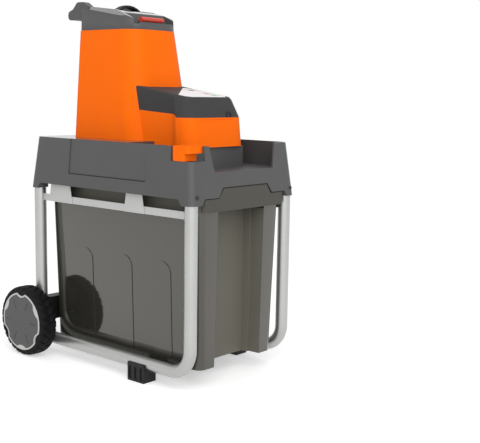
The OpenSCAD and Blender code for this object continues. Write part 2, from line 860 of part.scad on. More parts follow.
module motor_stator() {
    placed() color("#8d4a2b") difference() {
        union() {
            rod_y(motor_front, motor_back, 0, drive_h, stator_d);
            span([-38, motor_front + 8, nose_z + nose_wall], [38, motor_back - 8, drive_h - stator_d / 3]);
        }
        rod_y(motor_front - over, motor_back + over, 0, drive_h, rotor_d + 2);
    }
}

// The end shield that holds the motor's front bearing
shield_t = 12;
bearing_d = 28;
module motor_shield() {
    placed() color(steel) difference() {
        rod_y(motor_front - shield_t, motor_front, 0, drive_h, stator_d);
        rod_y(motor_front - 4, motor_front + over, 0, drive_h, rotor_d + 8);
        rod_y(motor_front - shield_t - over, motor_front, 0, drive_h, bearing_d + 2 * seat_gap);
    }
}

// A ball bearing drawn as one ring between its seat and its shaft
module bearing_ring(y0, y1, seat, shaft) {
    difference() {
        rod_y(y0, y1, 0, drive_h, seat);
        rod_y(y0 - over, y1 + over, 0, drive_h, shaft + 2 * run_gap);
    }
}
module motor_bearing() {
    placed() color(steel) bearing_ring(motor_front - shield_t, motor_front - 4, bearing_d, shaft_d);
}

module gear_case() {
    placed() color(steel) difference() {
        union() {
            span([-case_x, case_front, deck_top], [case_x, case_back, case_top]);
            rod_y(motor_back, case_front + over, 0, drive_h, stator_d - 14);
        }
        rod_y(motor_back - over, motor_back + 6, 0, drive_h, rotor_d + 8);
        rod_y(motor_back, case_front + 24, 0, drive_h, shaft_d + 2 * run_gap);
        rod_y(case_back - 28, case_back + over, 0, drive_h, drum_shaft_d + 2 * run_gap);
    }
}

// The cast frame around the drum: a rear plate with the bearing and two foot rails
frame_x = 84;
plate_y = drum_end + 8;
drum_seat = 42;
module drum_frame() {
    placed() color(steel) difference() {
        union() {
            span([-frame_x, plate_y, deck_top], [frame_x, plate_y + 10, drive_h + 60]);
            for (s = [-1, 1]) sided(s)
                span([chute_x + 2, case_back, deck_top], [frame_x, plate_y + over, deck_top + 10]);
        }
        rod_y(plate_y - over, plate_y + 11, 0, drive_h, drum_seat + 2 * seat_gap);
    }
}
module drum_bearing() { placed() color(steel) bearing_ring(plate_y, plate_y + 10, drum_seat, drum_shaft_d); }

// Drum with blades that rise towards their cutting edge
module cutting_drum() {
    root = drum_d / 2 - 11;
    step = 360 / blades;
    placed() color(steel) translate([0, drum_end, drive_h]) rotate([90, 0, 0])
    linear_extrude(drum_l) difference() {
        union() {
            circle(r = root);
            for (k = [0:blades - 1]) rotate(k * step)
                polygon([[root * 0.8, 0], [drum_d / 2, 0], [drum_d / 2 - 2, 9],
                    [root * cos(26) * 0.98, root * sin(26) * 0.98]]);
        }
        circle(d = drum_shaft_d + 2 * seat_gap);
    }
}
module drum_shaft() { placed() color(steel) rod_y(case_back - 26, plate_y + 12, 0, drive_h, drum_shaft_d); }

module motor_rotor() {
    placed() color(steel) difference() {
        rod_y(motor_front + 3, motor_back - 3, 0, drive_h, rotor_d);
        rod_y(motor_front, motor_back, 0, drive_h, shaft_d + 2 * seat_gap);
    }
}
fan_y = motor_front - shield_t - 12;
module motor_shaft() { placed() color(steel) rod_y(fan_y, case_front + 20, 0, drive_h, shaft_d); }

module cooling_fan() {
    placed() color(black) translate([0, fan_y + 9, drive_h]) rotate([90, 0, 0])
    linear_extrude(9) difference() {
        union() {
            circle(d = 26);
            for (k = [0:8]) rotate(k * 40) translate([0, -1.5]) square([38, 3]);
        }
        circle(d = shaft_d + 2 * seat_gap);
    }
}

// The plate that the drum cuts against, moved by the adjusting screw
plate_x = drum_d / 2 + 0.8;
module counter_plate() {
    placed() color(steel) difference() {
        union() {
            span([plate_x, drum_y + 2, deck_top + 14], [plate_x + 9, drum_end - 2, drive_h + 34]);
            rod_x(plate_x + 8, plate_x + 24, screw_y, drive_h, 26);
        }
        rod_x(plate_x + 4, plate_x + 30, screw_y, drive_h, spindle_d + 2 * run_gap);
    }
}
module adjusting_screw() {
    placed() color(steel) rod_x(plate_x + 12, knob_x + 12, screw_y, drive_h, spindle_d);
}
module adjusting_knob() {
    placed() color(black) translate([knob_x + free_gap, screw_y, drive_h]) rotate([0, 90, 0]) difference() {
        linear_extrude(24) difference() {
            circle(d = 46);
            for (k = [0:7]) rotate(k * 45) translate([26, 0]) circle(d = 12);
        }
        translate([0, 0, -over]) cylinder(d = spindle_d + 2 * seat_gap, h = 13);
    }
}

// The duct from the drum down towards the box, hung under the deck
module discharge_chute() {
    wall = 2.5;
    x = chute_x - 0.2;
    placed() color(dark) difference() {
        union() {
            span([-x, chute_y0 + 0.2, deck_z + 22], [x, chute_y1 - 0.2, deck_top - 4]);
            span([-x - 10, chute_y0 - 10, deck_top - 8], [x + 10, chute_y1 + 10, deck_top - 4]);
        }
        span([wall - x, chute_y0 + wall + 0.2, 0], [x - wall, chute_y1 - wall - 0.2, deck_top + over]);
    }
}

// Run capacitor beside the motor
capacitor_d = 30;
module capacitor() {
    x = -neck_w / 2 + nose_wall + capacitor_d / 2 + 3;
    z = nose_z + nose_wall + capacitor_d / 2 + 0.1;
    placed() color(silver) rod_y(motor_front + 6, motor_back, x, z, capacitor_d);
}

// Wheels

module tyre() {
    r = wheel_d / 2;
    shoulder = 7;
    color(black) translate([wheel_x, axle_y, axle_z]) rotate([0, 90, 0])
    rotate_extrude($fn = 96) difference() {
        union() {
            translate([rim_r, 0]) square([tyre_h - shoulder, tyre_w]);
            translate([rim_r, shoulder]) square([tyre_h, tyre_w - 2 * shoulder]);
            for (z = [shoulder, tyre_w - shoulder]) translate([r - shoulder, z]) circle(r = shoulder);
        }
        for (z = [tyre_w / 2 - 6, tyre_w / 2 + 4]) translate([r - 2, z]) square([4, 2]);
    }
}
module tyre_left() { placed() sided(-1) tyre(); }
module tyre_right() { placed() sided(1) tyre(); }

// The wheel's moulded disc: a long hub on the axle, a web and the rim under the tyre
hub_wall = 11;
web_x = 12;
web_t = 6;
rim_t = 8;
module wheel_disc() {
    bore_r = axle_d / 2 + run_gap;
    color(dark) translate([hub_x, axle_y, axle_z]) rotate([0, 90, 0]) rotate_extrude($fn = 96) {
        translate([bore_r, 0]) square([hub_wall, hub_end - hub_x]);
        translate([bore_r + hub_wall - over, web_x])
            square([rim_r - bore_r - hub_wall - rim_t + 2 * over, web_t]);
        translate([rim_r - rim_t, 4]) square([rim_t - seat_gap, tyre_w - 8]);
    }
}
module wheel_disc_left() { placed() sided(-1) wheel_disc(); }
module wheel_disc_right() { placed() sided(1) wheel_disc(); }

// The wheel's face: a cover with three notches in its edge, and the pale band around them
cover_r = rim_r - 0.2;
cover_x = wheel_face - 3;
cover_t = 5;
band_t = 4.5;
notch_r = 26;
notch_dip = 8;
lens_r = 34;
lens_in = 12.5;
module notched(r) {
    difference() {
        circle(r = r, $fn = 96);
        for (k = [0:2]) rotate(k * 120 + 60) translate([r + notch_r - notch_dip, 0]) circle(r = notch_r);
    }
}

// Three lens-shaped fields of the band, between the notches
module lenses(r, grow) {
    for (k = [0:2]) rotate(k * 120) intersection() {
        circle(r = r, $fn = 96);
        translate([cover_r - lens_in + lens_r, 0]) circle(r = lens_r + grow);
    }
}
module wheel_cover() {
    skirt_r = rim_r - rim_t - 0.2;
    skirt_x = hub_x + web_x + web_t + 0.2;
    line_w = 4.4;
    color(grey) translate([cover_x, axle_y, axle_z]) rotate([0, 90, 0]) difference() {
        union() {
            linear_extrude(cover_t) difference() {
                notched(cover_r - band_t - 0.1);
                lenses(rim_r, 0.1);
            }
            translate([0, 0, skirt_x - cover_x]) difference() {
                cylinder(r = skirt_r, h = cover_x - skirt_x, $fn = 96);
                translate([0, 0, -over]) cylinder(r = skirt_r - 14, h = cover_x - skirt_x - 1, $fn = 96);
            }
        }
        for (k = [0:5]) rotate(k * 60 + 30)
            translate([rim_r / 2, -line_w / 2, cover_t - 1.2]) cube([0.3 * rim_r, line_w, 5]);
    }
}
module wheel_cover_left() { placed() sided(-1) wheel_cover(); }
module wheel_cover_right() { placed() sided(1) wheel_cover(); }

module wheel_trim() {
    color(silver) translate([cover_x + 0.6, axle_y, axle_z]) rotate([0, 90, 0]) linear_extrude(4) {
        difference() {
            notched(cover_r);
            notched(cover_r - band_t);
        }
        lenses(cover_r, 0);
    }
}
module wheel_trim_left() { placed() sided(-1) wheel_trim(); }
module wheel_trim_right() { placed() sided(1) wheel_trim(); }

// Box

box_r = 20;
box_rear_r = 9;
box_low = [box_z, box_floor_w / 2, box_front_y + 8, box_back_y - 4, box_r, box_rear_r];
box_high = [head_z, box_w / 2, box_front_y, box_back_y, box_r, box_rear_r];
recess_y = box_front_y + recess_d;
recess_back = recess_y + recess_more;

// The stepped grip recess in the front, grown by a wall
function recess_side(s, grow) = let (wide = recess_w / 2 + grow, narrow = wide - recess_in)
    [[s * wide, box_front_y - 20], [s * (wide - 3), recess_y + grow],
    [s * narrow, recess_y + grow], [s * (narrow - 3), recess_back + grow]];
module grip_space(grow) {
    left = recess_side(-1, grow);
    translate([0, 0, box_z - over]) linear_extrude(head_z + over - box_z + grow)
        polygon(concat(recess_side(1, grow), [left[3], left[2], left[1], left[0]]));
}

module box_outside(grow) { loft(box_low, box_high, -grow); }

module box_inside() {
    difference() {
        loft(at_z(box_low, box_z + box_wall), at_z(box_high, head_z + over), box_wall);
        grip_space(box_wall);
    }
}

// The apron over the recess that the hand pulls, with the lip that rises into the deck's notch
head_x = 140;
apron_low = rim_z + 12;
apron_t = 4;
module box_header() {
    difference() {
        span([-head_x, lip_y, apron_low], [head_x, recess_y + over, head_z]);
        span([apron_t - head_x, lip_y + apron_t, apron_low - over],
            [head_x - apron_t, recess_y + 2 * over, head_z - apron_t]);
        span([recess_w / 2 + over, box_front_y + 2, 0], [head_x + over, recess_y + 5, head_z + over]);
        span([-head_x - over, box_front_y + 2, 0], [-recess_w / 2 - over, recess_y + 5, head_z + over]);
    }
    span([recess_in - recess_w / 2, recess_y, head_z - apron_t],
        [recess_w / 2 - recess_in, recess_back + over, head_z]);
    lip_x = notch_w / 2 - lip_gap;
    lip_z = deck_z + notch_h - lip_gap;
    translate([0, lip_y + apron_t, 0]) rotate([90, 0, 0]) linear_extrude(apron_t)
        polygon([[-lip_x - notch_slope, head_z - 1], [lip_x + notch_slope, head_z - 1],
            [lip_x, lip_z], [-lip_x, lip_z]]);
}

// Broad upright flutes on the long sides, with round tops
rib_h = 1.5;
flute_spans = [[-181, -123], [-47, 11], [99, 157]];
flute_top = 266;
module box_flutes() {
    intersection() {
        box_outside(rib_h);
        for (t = flute_spans) {
            span([-box_w, t[0], box_z + 14], [box_w, t[1], flute_top]);
            rod_x(-box_w, box_w, (t[0] + t[1]) / 2, flute_top, t[1] - t[0]);
        }
    }
}

module collection_box() {
    placed() color("#66645c") {
        difference() {
            union() {
                box_outside(0);
                box_flutes();
                box_ledges();
            }
            box_inside();
            grip_space(0);
        }
        box_header();
    }
}

// The ledges on both sides that slide on the rails
ledge_w = box_w + 9;
module box_ledges() {
    span([-ledge_w / 2, box_front_y + 24, rim_z + 0.3], [ledge_w / 2, box_back_y - 24, rim_z + ledge_t]);
}

// Hopper tools and locks

// The pushing blade that stands in the feed slot, held up by its collar
module plunger() {
    placed() color(dark) {
        span([-slot_x + 4, grip_y - 7, drive_h + drum_d / 2 + 16], [slot_x - 4, grip_y + 7, cap_z + 32]);
        span([-slot_x - 6, grip_y - slot_y - 5, cap_z + 8.3], [slot_x + 6, grip_y + slot_y + 5, cap_z + 14]);
    }
}
grip_z = hump_z - 7.5;
grip_x = 36;
grip_r = 64;
grip_in = 28;
grip_bar = 5.5;
module plunger_grip() {
    placed() color(black) difference() {
        intersection() {
            span([-grip_x, grip_y - 11, cap_z + 32], [grip_x, grip_y + 11, grip_z + over]);
            rod_y(grip_y - 12, grip_y + 12, 0, grip_z - grip_r, 2 * grip_r);
        }
        intersection() {
            span([-grip_in, grip_y - 12, cap_z + 36], [grip_in, grip_y + 12, grip_z]);
            rod_y(grip_y - 13, grip_y + 13, 0, grip_z - grip_r, 2 * (grip_r - grip_bar));
        }
    }
}

// The red bar in the cap's front recess, on two pins
bar_pin_x = 22;
bar_pin_d = 6;
module release_bar() {
    placed() color("#cc3f33") {
        rod_x(-38, 38, bar_y, bar_z, 13);
        for (x = [-bar_pin_x, bar_pin_x]) rod_y(bar_y, bar_y + 32, x, bar_z, bar_pin_d);
    }
}

// The orange slide in the deck's low corner, lifted by its lip to free the box
lock_pin_x = -144;
lock_pin_y = -244;
lock_pin_d = 10;
lock_lip = 17;
lock_reach = 39;
module box_lock() {
    low = lock_z - lock_lip;
    lip_end = lock_pin_x + lock_reach;
    placed() color(orange) {
        translate([0, 0, corner_z + free_gap])
            plate(lock_x0, lock_pin_x + 7, lock_pin_y - 15, lock_y1, 4, lock_z - corner_z - 1);
        intersection() {
            translate([0, 0, lock_z - lock_lip])
                plate(lock_x0, lip_end, lock_pin_y - 27, lock_y1, 10, lock_lip);
            rotate([90, 0, 0]) translate([0, 0, -far / 2]) linear_extrude(2 * far)
                polygon([[lock_x0 - over, low], [lock_pin_x + 7, low], [lip_end + over, lock_z - 5],
                    [lip_end + over, lock_z + over], [lock_x0 - over, lock_z + over]]);
        }
        rod_z(head_z + 0.6, corner_z + 1, lock_pin_x, lock_pin_y, lock_pin_d);
    }
}

side_frame_left();
side_frame_right();
axle_beam();
axle();
axle_caps();
foot_left();
foot_right();
guide_rail_left();
guide_rail_right();
rail_hangers();
deck();
leg_screws();
tower();
hopper_cap();
feed_chute();
nose_housing();
nose_cap();
control_panel();
switch_box();
motor_stator();
motor_shield();
motor_bearing();
gear_case();
drum_frame();
drum_bearing();
discharge_chute();
capacitor();
power_inlet();
tyre_left();
tyre_right();
wheel_disc_left();
wheel_disc_right();
wheel_cover_left();
wheel_cover_right();
wheel_trim_left();
wheel_trim_right();
collection_box();
plunger();
plunger_grip();
cutting_drum();
drum_shaft();
motor_rotor();
motor_shaft();
cooling_fan();
counter_plate();
adjusting_screw();
adjusting_knob();
start_button();
stop_button();
reset_button();
direction_switch();
release_bar();
box_lock();
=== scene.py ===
# %% [markdown]
# A garden shredder in moulded plastic and bent tube.
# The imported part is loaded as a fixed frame. Every piece made below is in metres, in that frame,
# and rides on the body it belongs to, so it moves when the joints move. Lengths are written in
# millimetres, as on a drawing, and MM turns them into metres.

# %% Load the frame
import json
import math

import bmesh
import bpy
import numpy as np
from mathutils import Matrix, Vector


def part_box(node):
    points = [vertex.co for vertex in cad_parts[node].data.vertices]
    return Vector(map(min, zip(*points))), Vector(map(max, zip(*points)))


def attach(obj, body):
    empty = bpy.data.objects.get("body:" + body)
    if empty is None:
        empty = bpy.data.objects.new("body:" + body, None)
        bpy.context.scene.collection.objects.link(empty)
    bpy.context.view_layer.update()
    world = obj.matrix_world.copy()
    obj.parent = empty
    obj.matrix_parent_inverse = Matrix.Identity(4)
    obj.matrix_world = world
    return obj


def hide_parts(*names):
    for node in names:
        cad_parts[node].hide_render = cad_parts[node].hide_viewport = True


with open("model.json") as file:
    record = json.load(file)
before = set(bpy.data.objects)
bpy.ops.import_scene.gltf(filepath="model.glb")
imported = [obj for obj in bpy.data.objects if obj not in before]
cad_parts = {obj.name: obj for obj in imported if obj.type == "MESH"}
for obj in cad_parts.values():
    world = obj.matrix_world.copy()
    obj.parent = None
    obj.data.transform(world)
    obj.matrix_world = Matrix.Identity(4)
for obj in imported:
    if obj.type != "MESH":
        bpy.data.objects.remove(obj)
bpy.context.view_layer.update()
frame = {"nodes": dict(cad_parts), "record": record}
nodes = frame["nodes"]
body_of = {n: b for b, members in frame["record"]["behaviour"]["bodies"].items() for n in members}
slot_of = {s["node"]: s["material_slot"] for s in frame["record"]["subparts"]}
scene = bpy.context.scene
scene.view_settings.view_transform = "Standard"
MM = 0.001

# %% [markdown]
# The camera repeats the photo's view. Its place, its turn and its focal length were found by fitting
# the straight edges of the stand and the deck, so no lens shift is needed. Its three axes are worked
# out from the angles: back points from the object to the eye, right and up lie in the picture.

# %% Camera
IMAGE_W = 480
SENSOR_MM = 36
FOCAL_PX = 934.16
AZIMUTH, ELEVATION, ROLL = (math.radians(a) for a in (-49.553, 7.995, 0.927))
EYE = Vector((-1.68858, -1.74647, 0.70076))

back = Vector((math.sin(AZIMUTH) * math.cos(ELEVATION),
               -math.cos(AZIMUTH) * math.cos(ELEVATION),
               math.sin(ELEVATION)))
right = (-back).cross(Vector((0, 0, 1))).normalized()
up = right.cross(-back)
right, up = (math.cos(ROLL) * right + math.sin(ROLL) * up,
             math.cos(ROLL) * up - math.sin(ROLL) * right)
camera_data = bpy.data.cameras.new("photo_camera")
camera_data.sensor_fit = "HORIZONTAL"
camera_data.sensor_width = SENSOR_MM
camera_data.lens = FOCAL_PX / IMAGE_W * SENSOR_MM
camera = bpy.data.objects.new("photo_camera", camera_data)
scene.collection.objects.link(camera)
camera.matrix_world = Matrix.LocRotScale(EYE, Matrix((right, up, back)).transposed(), None)
scene.camera = camera
print("lens", round(camera_data.lens, 2), "mm")

# %% [markdown]
# Materials are node trees. One helper adds a node, sets what is given and links what is given,
# so each material below reads as a short recipe. Colours are written as sRGB hex, as a paint chart
# gives them, and turned to the linear values that the shader works in. Every finish has the same
# three layers: a slow change of tone, a gloss that the grain breaks up, and the grain as a fine bump.

# %% Helpers for materials
CLOUD_DETAIL, GRAIN_DETAIL = 3.0, 2.0
TONE_ENDS = 0.2, 0.8
BUMP_MM = 0.4


def linear(colour):
    """sRGB hex to linear RGBA: c / 12.92 for dark values, ((c + 0.055) / 1.055) ** 2.4 for the rest."""
    c = np.array([int(colour[i:i + 2], 16) for i in (1, 3, 5)]) / 255
    return (*np.where(c <= 0.04045, c / 12.92, ((c + 0.055) / 1.055) ** 2.4).tolist(), 1.0)


def add(material, kind, settings=None, **links):
    """Adds one node. A setting is a property or an input's value; a link is input=(node, output)."""
    node = material.node_tree.nodes.new(kind)
    for name, value in (settings or {}).items():
        if name in node.inputs:
            node.inputs[name].default_value = value
        else:
            setattr(node, name, value)
    for name, (source, output) in links.items():
        material.node_tree.links.new(source.outputs[output], node.inputs[name.replace("_", " ")])
    return node


def new_material(name):
    """An empty node material and its output node."""
    material = bpy.data.materials.new(name)
    material.use_nodes = True
    material.node_tree.nodes.clear()
    return material, add(material, "ShaderNodeOutputMaterial")


def per_metre(size_mm):
    """Noise scale that gives features of this size: a feature is about one over the scale."""
    return 1 / (size_mm * MM)


def shaded(name, base, rough, settings=None, tone=0.05, cloud_mm=60, grain_mm=2.5, grain=0.05):
    """A Principled surface with a slow change of tone, a grained gloss and a fine bump.

    base is the colour as hex, rough the roughness between two values that the grain moves in.
    """
    material, output = new_material(name)
    place = add(material, "ShaderNodeTexCoord")
    cloud = add(material, "ShaderNodeTexNoise", {"Scale": per_metre(cloud_mm), "Detail": CLOUD_DETAIL},
                Vector=(place, "Object"))
    deep = linear(base)[:3]
    dim = (*(c * (1 - tone) for c in deep), 1.0)
    lit = (*(min(1.0, c * (1 + tone)) for c in deep), 1.0)
    colour = add(material, "ShaderNodeValToRGB", Fac=(cloud, "Fac"))
    for stop, position, value in zip(colour.color_ramp.elements, TONE_ENDS, (dim, lit)):
        stop.position = position
        stop.color = value
    fine = add(material, "ShaderNodeTexNoise", {"Scale": per_metre(grain_mm), "Detail": GRAIN_DETAIL},
               Vector=(place, "Object"))
    gloss = add(material, "ShaderNodeMapRange", {"To Min": rough[0], "To Max": rough[1]},
                Value=(fine, "Fac"))
    bump = add(material, "ShaderNodeBump", {"Strength": grain, "Distance": BUMP_MM * MM},
               Height=(fine, "Fac"))
    surface = add(material, "ShaderNodeBsdfPrincipled", settings, Base_Color=(colour, "Color"),
                  Roughness=(gloss, "Result"), Normal=(bump, "Normal"))
    material.node_tree.links.new(surface.outputs["BSDF"], output.inputs["Surface"])
    return material


print("half grey on the chart is", round(linear("#808080")[0], 3), "of the light")

# %% [markdown]
# Each finish starts from the real material. The mouldings are polypropylene and ABS: the mould's
# spark-eroded wall gives a fine dull grain, drawn here at 2 to 3 mm because the true 0.3 mm grain is
# finer than a pixel. The stand is silver powder coat on tube, the rails are zinc-plated sheet, the box
# is smoke-tinted polypropylene with a bright surface that mirrors the wheel.

# %% Materials
finish = {
    # The grain scatters the light: an even grey with a soft, wide gloss.
    "grey_plastic": shaded("grained polypropylene grey", "#4F4F50", (0.36, 0.50),
                           {"Specular IOR Level": 0.35}, grain=0.10),
    # From a smooth wall of the mould: at a low angle it mirrors the room.
    "grey_smooth": shaded("polypropylene grey, smooth", "#4F4F50", (0.10, 0.14),
                          {"Specular IOR Level": 0.7}, grain=0.0),
    # Polished by use: a thin bright film that flashes along an edge.
    "grey_rubbed": shaded("polypropylene grey, rubbed bright", "#4F4F50", (0.05, 0.09),
                          {"Coat Weight": 1.0}, grain=0.0),
    # Nearly without gloss, so it reads as one even dark field.
    "dark_plastic": shaded("smooth polypropylene dark", "#3F3F40", (0.58, 0.70),
                           {"Specular IOR Level": 0.12}, grain=0.03),
    # Dyed all through and dull: a full colour that no reflection pales.
    "orange_plastic": shaded("moulded ABS orange", "#FF6E0A", (0.42, 0.52),
                             {"Specular IOR Level": 0.06}, tone=0.02, grain=0.03),
    # Metal flakes in the coat: bright, with a soft streak of light along the tube.
    "frame_silver": shaded("powder coat silver", "#B5B6B4", (0.28, 0.38),
                           {"Metallic": 0.85}, tone=0.02, grain_mm=1.5),
    # A white bloom on the zinc: pale, and hardly a mirror.
    "rail_zinc": shaded("zinc plated sheet", "#BEBFBD", (0.38, 0.50), {"Metallic": 0.3}, tone=0.03),
    # Polished outer wall: dark, and a warm mirror for what stands beside it.
    "box_plastic": shaded("smoke tinted polypropylene", "#302F2A", (0.06, 0.12),
                          {"IOR": 1.49, "Coat Weight": 1.0, "Specular Tint": (1.0, 0.93, 0.77, 1.0)},
                          tone=0.10, cloud_mm=160, grain=0.0),
    # Painted light: a paler, dull colour stands in for the light that would come through the thin walls from
    # inside the box.
    "box_painted_light": shaded("smoke tinted polypropylene, painted through-light", "#6B685F", (0.45, 0.55),
                       {"Specular IOR Level": 0.2}, tone=0.05, cloud_mm=120, grain=0.0),
    # A grained face of the same plastic: it shows the tint and mirrors nothing.
    "box_grain": shaded("smoke tinted polypropylene, grained", "#4A4842", (0.40, 0.50),
                        {"Specular IOR Level": 0.25}, tone=0.05, cloud_mm=120, grain=0.1),
    # Black, with just enough gloss to show its edges.
    "black_plastic": shaded("moulded nylon black", "#131314", (0.42, 0.55),
                            {"Specular IOR Level": 0.3}, grain=0.08),
    # Takes up most of the light, and dust makes its tone patchy.
    "tyre_rubber": shaded("tyre rubber", "#0B0B0C", (0.62, 0.78),
                          {"Specular IOR Level": 0.2}, tone=0.12, cloud_mm=14, grain=0.15),
    # A pale insert with a quiet gloss.
    "pale_trim": shaded("ABS pale grey", "#C4C4C2", (0.30, 0.40), tone=0.02),
    # Nearly white: the brightest plastic of the part.
    "panel_plastic": shaded("ABS light grey", "#EDEDED", (0.35, 0.45), tone=0.02),
    # Fine turning marks: a bright mirror, slightly broken.
    "bright_steel": shaded("turned steel, zinc plated", "#C3C6C9", (0.22, 0.34),
                           {"Metallic": 1.0}, grain_mm=0.8),
    # A thin black coat: dark, with a soft gloss.
    "blackened_steel": shaded("black coated steel", "#2A2A2B", (0.35, 0.45), grain_mm=0.8),
    # Milled faces: grey metal with a fine, even sheen.
    "cutter_steel": shaded("machined tool steel", "#A6A8AA", (0.28, 0.42), {"Metallic": 1.0}, grain_mm=1.0),
    # The rough skin of the casting: pale, matt and clearly grained.
    "cast_alloy": shaded("cast aluminium", "#B4B6B7", (0.45, 0.60), {"Metallic": 1.0}, grain=0.25),
    # Varnish over stacked sheets: red-brown, patchy where it ran.
    "motor_red": shaded("varnished laminations", "#8E4A2C", (0.35, 0.50), tone=0.1, cloud_mm=8),
    # Smooth ABS: a clear colour with a small, sharp highlight.
    "red_plastic": shaded("moulded ABS red", "#D2402F", (0.25, 0.35), {"IOR": 1.52}, tone=0.02),
    # The same smooth ABS, for the start button.
    "green_plastic": shaded("moulded ABS green", "#2F9A48", (0.25, 0.35), {"IOR": 1.52}, tone=0.02),
}
for name, node in nodes.items():
    node.data.materials.clear()
    node.data.materials.append(finish[slot_of[name]])
print("materials", len(finish))

# %% [markdown]
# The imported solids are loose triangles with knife-sharp edges. For the mouldings in view, a copy of the
# solid is merged into one skin, its flat triangles are joined, and it is shaded smooth up to SHARP_DEG,
# so that curved walls show no facets. A Bevel then rounds the sharp edges, as on a real moulding, where
# the rounding catches a thin line of light. The Bevel's clamp stops at the first crowded corner: plain
# pieces such as the wheels and the feet get up to 0.7 mm, and the large mouldings with fine corners get
# hardly any. Without the clamp the faces of the deck would tear, so it stays on.

# %% Rounded mouldings
SHARP_DEG, FLAT_DEG = 28, 0.6
WELD_MM = 0.01
EDGE_STEPS = 2


def softened(name, radius_mm):
    """A copy of a CAD node as one closed skin, with a Bevel on every edge sharper than SHARP_DEG."""
    source = nodes[name].data
    corners = np.empty(len(source.vertices) * 3)
    source.vertices.foreach_get("co", corners)
    # Corners that agree to the micrometre are one point of the skin.
    points, index = np.unique(corners.reshape(-1, 3).round(6), axis=0, return_inverse=True)
    source.calc_loop_triangles()
    triangles = np.empty(len(source.loop_triangles) * 3, int)
    source.loop_triangles.foreach_get("vertices", triangles)
    triangles = index.ravel()[triangles].reshape(-1, 3)
    spans = triangles[:, [0, 1, 2]] != triangles[:, [1, 2, 0]]
    mesh = bpy.data.meshes.new(name + "_moulding")
    mesh.from_pydata(points.tolist(), [], triangles[spans.all(1)].tolist())
    skin = bmesh.new()
    skin.from_mesh(mesh)
    bmesh.ops.remove_doubles(skin, verts=skin.verts, dist=WELD_MM * MM)
    bmesh.ops.dissolve_limit(skin, angle_limit=math.radians(FLAT_DEG), verts=skin.verts, edges=skin.edges)
    skin.to_mesh(mesh)
    skin.free()
    mesh.shade_smooth()
    mesh.set_sharp_from_angle(angle=math.radians(SHARP_DEG))
    piece = bpy.data.objects.new(name + "_moulding", mesh)
    scene.collection.objects.link(piece)
    bevel = piece.modifiers.new("Rounded edges", "BEVEL")
    bevel.width = radius_mm * MM
    bevel.segments = EDGE_STEPS
    bevel.limit_method = "ANGLE"
    bevel.angle_limit = math.radians(SHARP_DEG)
    bevel.use_clamp_overlap = True
    bevel.harden_normals = True
    return dressed(piece, name)


def dressed(piece, name):
    """Gives a piece the finish and the body of the CAD node that it stands for."""
    piece.data.materials.append(finish[slot_of[name]])
    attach(piece, body_of[name])
    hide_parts(name)
    return piece


edge_radius_mm = {
    "deck": 1.2, "tower": 0.8, "hopper_cap": 1.2, "nose_housing": 0.9, "nose_cap": 0.9,
    "collection_box": 0.8, "box_lock": 0.9, "control_panel": 0.5,
    "start_button": 0.5, "stop_button": 0.5, "reset_button": 0.4, "direction_switch": 0.5,
    "release_bar": 0.6, "plunger": 0.8, "plunger_grip": 1.0,
    "axle_beam": 1.0, "foot_left": 1.2, "foot_right": 1.2,
    "wheel_disc_left": 0.6, "wheel_disc_right": 0.6, "wheel_cover_left": 0.5, "wheel_cover_right": 0.5,
    "wheel_trim_left": 0.5, "wheel_trim_right": 0.5,
    "guide_rail_left": 0.5, "guide_rail_right": 0.5, "rail_hangers": 0.5,
    "power_inlet": 0.5, "adjusting_knob": 0.8,
}
moulded = {name: softened(name, radius) for name, radius in edge_radius_mm.items()}
for piece in moulded.values():
    print(piece.name, len(piece.data.polygons), "faces")

# %% [markdown]
# Two mouldings just touch a neighbour at the end of their travel: the box's rim passes between the lugs
# of the deck, and the rocker's lower corners reach the floor of its pocket. Both get half a millimetre
# of room. The points to move are picked by their place, as whole arrays, and the faces follow them.

# %% Room for the motion
RIM_HALF_W, RIM_REACH = 147.0, 1.0
# The panel rises by PANEL_SLOPE for each millimetre towards the rear.
ROCKER_ROOM, PANEL_SLOPE = 0.5, 0.1505


def reshaped(piece, move):
    """Moves the points of a piece; move takes and gives the arrays x, y and z in millimetres."""
    points = np.empty(len(piece.data.vertices) * 3)
    piece.data.vertices.foreach_get("co", points)
    old = points.reshape(-1, 3) / MM
    new = np.stack(move(*old.T), -1)
    piece.data.vertices.foreach_set("co", (new * MM).ravel())
    piece.data.update()
    print(piece.name, "moved at most", round(float(np.abs(new - old).max()), 2), "mm")


def narrowed_rim(x, y, z):
    """Draws the rim in to RIM_HALF_W; the apron, which is wider than the rim, keeps its width."""
    return np.where(np.abs(x) < RIM_HALF_W + RIM_REACH, x.clip(-RIM_HALF_W, RIM_HALF_W), x), y, z


def lifted_floor(x, y, z):
    """Lifts the points of the rocker's lowest face, which lies in the slope of the panel."""
    height = z - PANEL_SLOPE * y
    return x, y, z + ROCKER_ROOM * (height < height.min() + 2 * ROCKER_ROOM)


reshaped(moulded["collection_box"], narrowed_rim)
reshaped(moulded["direction_switch"], lifted_floor)

# %% [markdown]
# The walls of the grip recess in the box's front, and the band above the rails, get a paler, duller colour
# of the same plastic. This is painted light: it stands in for light that would come through the thin walls
# from inside the box, which the render does not pass, and it lightens the band in the shade under the deck.
# The apron that the hand pulls is grained for a better hold. The faces of each zone are found by where their
# middles lie, after one cut around the box at the rails.

# %% Zones of the box
RECESS_X, RECESS_DEPTH, RECESS_TOP = 90.0, 74.0, 420.0
BAND_LOW, BOX_SIDE, APRON_T = 414.0, 140.0, 6.0


def of_faces(mesh, what):
    """One vector for each face, such as its center or its normal, as an array [face, 3]."""
    values = np.empty(len(mesh.polygons) * 3)
    mesh.polygons.foreach_get(what, values)
    return values.reshape(-1, 3)


def painted(mesh, walls, choice):
    """Adds the finishes named in walls; choice gives each face 0 for the first finish or 1, 2 for these."""
    for wall in walls:
        mesh.materials.append(finish[wall])
    mesh.polygons.foreach_set("material_index", choice.astype(np.int32))


